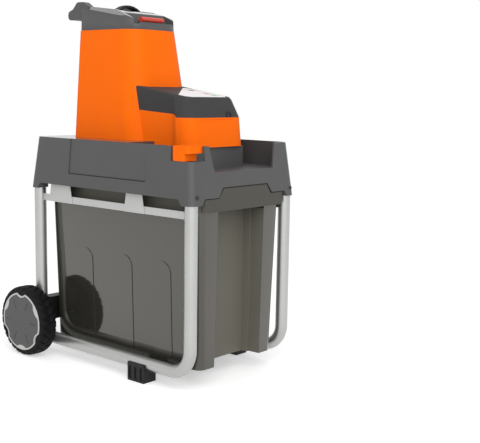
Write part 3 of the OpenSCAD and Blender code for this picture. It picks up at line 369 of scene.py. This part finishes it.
box_mesh = moulded["collection_box"].data
skin = bmesh.new()
skin.from_mesh(box_mesh)
bmesh.ops.bisect_plane(skin, geom=skin.verts[:] + skin.edges[:] + skin.faces[:],
                       plane_co=(0, 0, BAND_LOW * MM), plane_no=(0, 0, 1))
skin.to_mesh(box_mesh)
skin.free()
x, y, z = of_faces(box_mesh, "center").T / MM
apron_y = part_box("collection_box")[0][1] / MM
behind_apron = (y > apron_y + APRON_T) & (y < apron_y + RECESS_DEPTH)
recess = (np.abs(x) < RECESS_X) & behind_apron & (z < RECESS_TOP)
band = (z > BAND_LOW) & (np.abs(x) > BOX_SIDE)
apron = (z > BAND_LOW) & (y < apron_y + APRON_T)
# Finish 1 is painted light: the recess walls and the band in the shade under the deck are made paler.
painted(box_mesh, ("box_painted_light", "box_grain"), np.select([apron, recess | band], [2, 1], 0))
print("recess", int(recess.sum()), "band", int(band.sum()), "apron", int(apron.sum()), "of", len(z), "faces")

# %% [markdown]
# Hands and branches rub the rim of the hopper smooth, and the deck's flat top is moulded without grain.
# Seen at a low angle, these faces mirror the pale room: the rim reads as a bright line around the mouth,
# and the deck's top nearly vanishes. They are found by their height and by the way they face.

# %% Smooth faces of the grey mouldings
RIM_LOW, RIM_HIGH = 876.0, 905.0
RIM_UPWARD, RIM_FORWARD = 0.7, 0.05
TOP_UPWARD, TOP_REACH = 0.98, 1.0
deck_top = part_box("deck")[1][2] / MM


def on_rim(z, normal):
    """Faces between the rim's two heights that face up and a little to the front."""
    return (z > RIM_LOW) & (z < RIM_HIGH) & (normal[:, 2] > RIM_UPWARD) & (normal[:, 1] < -RIM_FORWARD)


def on_deck_top(z, normal):
    """Level faces in the highest millimetre of the deck."""
    return (z > deck_top - TOP_REACH) & (normal[:, 2] > TOP_UPWARD)


for name, wall, choose in (("hopper_cap", "grey_rubbed", on_rim), ("deck", "grey_smooth", on_deck_top)):
    mesh = moulded[name].data
    chosen = choose(of_faces(mesh, "center")[:, 2] / MM, of_faces(mesh, "normal"))
    painted(mesh, (wall,), chosen)
    print(name, int(chosen.sum()), "smooth of", len(chosen), "faces")

# %% [markdown]
# The tyres are the piece with the most form: a rounded square section, carried around the axle, with
# slanted blocks cut into it. A grid of angle and section gives every point at once, and the tread is a
# depth that is taken off the radius where a groove runs.

# %% Tyres
TYRE_R, TYRE_H, TYRE_W = 91.5, 15.5, 47.0
TYRE_INWARD = 7.0
BLOCKS, BLOCK_STEPS, SECTION_STEPS = 26, 20, 41
# GROOVE is a depth; the slant, the groove's half width and its flank are shares of a block.
GROOVE, SLANT, GROOVE_HALF, GROOVE_FLANK = 3.2, 0.55, 0.10, 0.06
# The groove around the middle swings over ZIGZAG millimetres.
ZIGZAG, MIDDLE_HALF, MIDDLE_FLANK = 2.6, 0.9, 0.8
# The tread ends at TREAD_SHARE of the section's height below the crown and fades over TREAD_FADE.
TREAD_SHARE, TREAD_FADE = 0.62, 4.0


def step(x, width):
    """Smooth step from 0 at x = 0 to 1 at x = width."""
    t = np.clip(x / width, 0, 1)
    return t * t * (3 - 2 * t)


def signed_power(t, exponent):
    """|t| ** exponent with the sign of t; an exponent below 1 makes a circle a rounded square."""
    return np.sign(t) * np.abs(t) ** exponent


def grid_mesh(name, points, closed_u=True, closed_v=True):
    """A mesh of four-cornered faces over an array of points [u, v, 3], joined end to end where closed."""
    nu, nv = points.shape[:2]
    u = np.arange(nu if closed_u else nu - 1)[:, None]
    v = np.arange(nv if closed_v else nv - 1)[None, :]
    at = lambda i, j: (i % nu) * nv + (j % nv)
    faces = np.stack([at(u, v), at(u, v + 1), at(u + 1, v + 1), at(u + 1, v)], -1).reshape(-1, 4)
    mesh = bpy.data.meshes.new(name)
    mesh.from_pydata(points.reshape(-1, 3).tolist(), [], faces.tolist())
    mesh.shade_smooth()
    piece = bpy.data.objects.new(name, mesh)
    scene.collection.objects.link(piece)
    return piece


def tyre(node, side):
    """Section: x = W/2 * s(sin p), r = R - H + H * s(cos p), where s is the signed square root.

    The tread takes GROOVE off r where the slanted wave of BLOCKS turns is in its groove, and fades out
    on the side walls; a zigzag groove runs around the middle.
    """
    turn = np.linspace(0, 2 * np.pi, BLOCKS * BLOCK_STEPS, endpoint=False)[:, None]
    p = np.linspace(-0.5 * np.pi, 0.5 * np.pi, SECTION_STEPS)[None, :]
    x = TYRE_W / 2 * signed_power(np.sin(p), 0.5) + 0 * turn
    r = TYRE_R - TYRE_H + TYRE_H * signed_power(np.cos(p), 0.5) + 0 * turn
    lane = np.abs(x) / (TYRE_W / 2)
    wave = (BLOCKS * turn / (2 * np.pi) + SLANT * lane + 0.5 * (x > 0)) % 1
    cross_groove = 1 - step(np.abs(wave - 0.5) - GROOVE_HALF, GROOVE_FLANK)
    zigzag = ZIGZAG * (2 * np.abs(wave - 0.5) - 0.5)
    middle_groove = 1 - step(np.abs(x - zigzag) - MIDDLE_HALF, MIDDLE_FLANK)
    tread = step(r - (TYRE_R - TREAD_SHARE * TYRE_H), TREAD_FADE)
    r = r - GROOVE * tread * np.maximum(cross_groove, middle_groove)
    low, high = (np.array(c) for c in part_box(node))
    middle = (low + high) / 2
    inward = -side * TYRE_INWARD / 2 * MM
    points = np.stack([middle[0] + inward + x * MM,
                       middle[1] + r * MM * np.cos(turn),
                       middle[2] + r * MM * np.sin(turn)], -1)
    return grid_mesh(node + "_tread", points)


for name, side in (("tyre_left", -1), ("tyre_right", 1)):
    piece = dressed(tyre(name, side), name)
    print(piece.name, len(piece.data.polygons), "faces")

# %% [markdown]
# Under the shallow panel in each side of the deck runs a thin open seam, and the shade in it reads as a dark
# line. A gap that thin would be lost between the pixels, so a slim black bar in the panel's lower corner
# paints that shade.

# %% Painted shade in the seams of the side panels
PANEL_REAR, PANEL_FRONT, PANEL_LOW = 104.0, -174.0, 45.0
SEAM_IN, SEAM_OUT, SEAM_H = -2.6, -0.7, 2.2
# The wall leans in by DECK_DRAFT over the height of the deck.
DECK_DRAFT = 11.5


def with_ends(piece):
    """Closes the two open ends of a bar and turns its faces outward."""
    skin = bmesh.new()
    skin.from_mesh(piece.data)
    bmesh.ops.holes_fill(skin, edges=skin.edges)
    bmesh.ops.recalc_face_normals(skin, faces=skin.faces)
    skin.to_mesh(piece.data)
    skin.free()
    return piece


def panel_seam_shade(side):
    """A bar of four edges along the deck: (in, h) corners on the leaning wall, from the rear to the front.

    With the wall's lean l, a point at depth a and height h has x = side * (w + a cos l - h sin l) and
    z = foot + a sin l + h cos l.
    """
    low, high = (np.array(c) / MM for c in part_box("deck"))
    lean = math.atan2(DECK_DRAFT, high[2] - low[2])
    depth, height = np.array([(SEAM_IN, 0), (SEAM_OUT, 0), (SEAM_OUT, SEAM_H), (SEAM_IN, SEAM_H)]).T
    height = height + PANEL_LOW
    x = side * (high[0] + depth * math.cos(lean) - height * math.sin(lean))
    z = low[2] + depth * math.sin(lean) + height * math.cos(lean)
    ends = np.array([PANEL_REAR, PANEL_FRONT])[:, None]
    points = np.stack([x + 0 * ends, ends + 0 * x, z + 0 * ends], -1) * MM
    name = "side_panel_seam_left" if side < 0 else "side_panel_seam_right"
    piece = with_ends(grid_mesh(name, points, closed_u=False))
    piece.data.shade_flat()
    return piece


for side in (-1, 1):
    # Each bar is painted shade: the dark line of the open seam.
    piece = panel_seam_shade(side)
    piece.data.materials.append(finish["black_plastic"])
    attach(piece, body_of["deck"])
    print(piece.name, len(piece.data.polygons), "faces")

# %% [markdown]
# A small arched notch in the lower edge of the nose's cap lets a tool lift the cap off. It is only two
# millimetres deep, and the shade in it reads as a dark line around it: a thin black bent rod, half sunk in
# the front, paints that shade.

# %% Painted shade line around the cap's notch
NOTCH_X, NOTCH_HALF, NOTCH_H, NOTCH_R = 39.0, 7.2, 12.5, 1.1
NOTCH_POWER = 0.6
ARCH_STEPS, RING_STEPS = 41, 10
# The cap's front leans back by FRONT_LEAN for each millimetre of height.
FRONT_LEAN = 0.08


def notch_shade_line():
    """Arch: x = a * s(cos p), h = b * s(sin p), where s keeps the sign and takes the power NOTCH_POWER.

    A ring of radius NOTCH_R is carried along it, in the plane of the arch's own normal and of Y.
    """
    p = np.linspace(np.pi, 0, ARCH_STEPS)[:, None]
    q = np.linspace(0, 2 * np.pi, RING_STEPS, endpoint=False)[None, :]
    arch_x = NOTCH_HALF * signed_power(np.cos(p), NOTCH_POWER)
    arch_h = NOTCH_H * signed_power(np.sin(p).clip(0), NOTCH_POWER)
    along_x, along_h = np.gradient(arch_x, axis=0), np.gradient(arch_h, axis=0)
    length = np.hypot(along_x, along_h)
    front = np.array(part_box("nose_cap")[0]) / MM
    x = NOTCH_X + arch_x + NOTCH_R * np.cos(q) * along_h / length
    y = front[1] + FRONT_LEAN * arch_h + NOTCH_R * np.sin(q)
    h = arch_h - NOTCH_R * np.cos(q) * along_x / length
    points = np.stack([x, y, front[2] + NOTCH_R + h], -1) * MM
    return with_ends(grid_mesh("nose_cap_notch_line", points, closed_u=False))


piece = notch_shade_line()
# The black rod is painted shade: the dark line around the notch.
piece.data.materials.append(finish["black_plastic"])
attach(piece, body_of["nose_cap"])
print(piece.name, len(piece.data.polygons), "faces")

# %% [markdown]
# The pusher's grip shows just over the hopper's rim: a dark arched bar with finger ridges across its top.
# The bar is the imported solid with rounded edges. Each ridge is a small superellipsoid that lies across
# the bar, and all of them are worked out at once, with the ridge's number as a third axis of the array.

# %% Ridges on the pusher grip
GRIP_R = 64.0
RIDGE_PITCH, RIDGE_R, RIDGES = 7.5, 2.6, 7
RIDGE_INSET, RIDGE_SUNK = 1.5, 1.2
LENGTH_STEPS, ROUND_STEPS = 25, 20
POLE_WELD_MM = 0.001


def grip_ridges():
    """Ridge n: along = r * s(cos p) * cos(q), across = b * s(sin p), up = r * s(cos p) * sin(q).

    s is the signed square root. Each ridge is then carried to its place on the arc of GRIP_R.
    """
    low, high = (np.array(c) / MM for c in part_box("plunger_grip"))
    turn = ((np.arange(RIDGES) - (RIDGES - 1) / 2) * RIDGE_PITCH / GRIP_R)[:, None, None]
    p = np.linspace(-0.5 * np.pi, 0.5 * np.pi, LENGTH_STEPS)[None, :, None]
    q = np.linspace(0, 2 * np.pi, ROUND_STEPS, endpoint=False)[None, None, :]
    thick = RIDGE_R * signed_power(np.cos(p), 0.5)
    along = thick * np.cos(q) + 0 * turn
    across = ((high - low)[1] / 2 - RIDGE_INSET) * signed_power(np.sin(p), 0.5) + 0 * q + 0 * turn
    radius = GRIP_R - RIDGE_SUNK + thick * np.sin(q)
    x = radius * np.sin(turn) + along * np.cos(turn)
    z = high[2] - GRIP_R + radius * np.cos(turn) - along * np.sin(turn)
    points = np.stack([x, (low + high)[1] / 2 + across, z], -1) * MM
    ridge, i, j = np.ogrid[:RIDGES, :LENGTH_STEPS - 1, :ROUND_STEPS]
    at = lambda u, v: (ridge * LENGTH_STEPS + u) * ROUND_STEPS + v % ROUND_STEPS
    faces = np.stack([at(i, j), at(i, j + 1), at(i + 1, j + 1), at(i + 1, j)], -1).reshape(-1, 4)
    mesh = bpy.data.meshes.new("plunger_grip_ridges")
    mesh.from_pydata(points.reshape(-1, 3).tolist(), [], faces.tolist())
    skin = bmesh.new()
    skin.from_mesh(mesh)
    bmesh.ops.remove_doubles(skin, verts=skin.verts, dist=POLE_WELD_MM * MM)
    bmesh.ops.recalc_face_normals(skin, faces=skin.faces)
    skin.to_mesh(mesh)
    skin.free()
    mesh.shade_smooth()
    piece = bpy.data.objects.new("plunger_grip_ridges", mesh)
    scene.collection.objects.link(piece)
    return piece


piece = grip_ridges()
piece.data.materials.append(finish[slot_of["plunger_grip"]])
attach(piece, body_of["plunger_grip"])
print(piece.name, len(piece.data.polygons), "faces")

# %% [markdown]
# A pale floor and soft light from all around, as in a product studio: the sky gives most of the light,
# and one large lamp at the left front shapes it. The floor and the sky look white to the camera and in
# reflections: Light Path says which rays those are, and only they see the added white, so that it is
# no light on the object. The floor keeps its shadow because the white is added to what light it gets.

# %% Floor and sky
SKY = 0.70
PAPER, PAPER_GLOW = 0.8, 0.44
FLOOR_HALF = 30


def seen_rays(material):
    """1 for the rays that show a background (camera, glossy and transmission), 0 for those that light."""
    rays = add(material, "ShaderNodeLightPath")
    seen = add(material, "ShaderNodeMath", {"operation": "ADD", "use_clamp": True})
    every = add(material, "ShaderNodeMath", {"operation": "ADD", "use_clamp": True})
    for source, output, target, place in ((rays, "Is Camera Ray", seen, 0),
                                          (rays, "Is Glossy Ray", seen, 1),
                                          (seen, "Value", every, 0),
                                          (rays, "Is Transmission Ray", every, 1)):
        material.node_tree.links.new(source.outputs[output], target.inputs[place])
    return every


floor_mesh = bpy.data.meshes.new("studio_floor")
floor_corners = [(u * FLOOR_HALF, v * FLOOR_HALF, 0) for u, v in ((-1, -1), (1, -1), (1, 1), (-1, 1))]
floor_mesh.from_pydata(floor_corners, [], [(0, 1, 2, 3)])
floor = bpy.data.objects.new("studio_floor", floor_mesh)
scene.collection.objects.link(floor)
# Uncoated paper scatters all light evenly: no gloss, only the soft shadow under the stand.
paper, output = new_material("white studio paper")
matt = add(paper, "ShaderNodeBsdfDiffuse", {"Color": (PAPER, PAPER, PAPER, 1.0)})
level = add(paper, "ShaderNodeMapRange", {"To Min": 0.0, "To Max": PAPER_GLOW},
            Value=(seen_rays(paper), "Value"))
glow = add(paper, "ShaderNodeEmission", Strength=(level, "Result"))
both = add(paper, "ShaderNodeAddShader")
paper.node_tree.links.new(matt.outputs["BSDF"], both.inputs[0])
paper.node_tree.links.new(glow.outputs["Emission"], both.inputs[1])
paper.node_tree.links.new(both.outputs["Shader"], output.inputs["Surface"])
floor_mesh.materials.append(paper)

world = bpy.data.worlds.new("studio_sky")
scene.world = world
world.use_nodes = True
world.node_tree.nodes.clear()
output = add(world, "ShaderNodeOutputWorld")
level = add(world, "ShaderNodeMapRange", {"To Min": SKY, "To Max": 1.0}, Value=(seen_rays(world), "Value"))
sky = add(world, "ShaderNodeBackground", {"Color": (1, 1, 1, 1)}, Strength=(level, "Result"))
world.node_tree.links.new(sky.outputs["Background"], output.inputs["Surface"])
print("sky", SKY, "paper", PAPER_GLOW)

# %% [markdown]
# One square lamp, larger than the object, gives soft shadows with a direction. It stands at the left
# front, above the eye, and looks at the middle of the object. A small lamp would draw hard shadows and
# sharp glints, which no studio picture of a grained moulding shows.

# %% Lamp
LAMP_PLACE, LAMP_TARGET = Vector((-2.6, -3.2, 3.0)), Vector((0, 0, 0.5))
LAMP_SIZE, LAMP_WATTS = 4.4, 138

lamp_data = bpy.data.lights.new("key_lamp", "AREA")
lamp_data.shape = "SQUARE"
lamp_data.size = LAMP_SIZE
lamp_data.energy = LAMP_WATTS
lamp = bpy.data.objects.new("key_lamp", lamp_data)
scene.collection.objects.link(lamp)
look = (LAMP_PLACE - LAMP_TARGET).to_track_quat("Z", "Y")
lamp.matrix_world = Matrix.LocRotScale(LAMP_PLACE, look, None)
print("lamp", LAMP_WATTS, "watts over", LAMP_SIZE, "m")
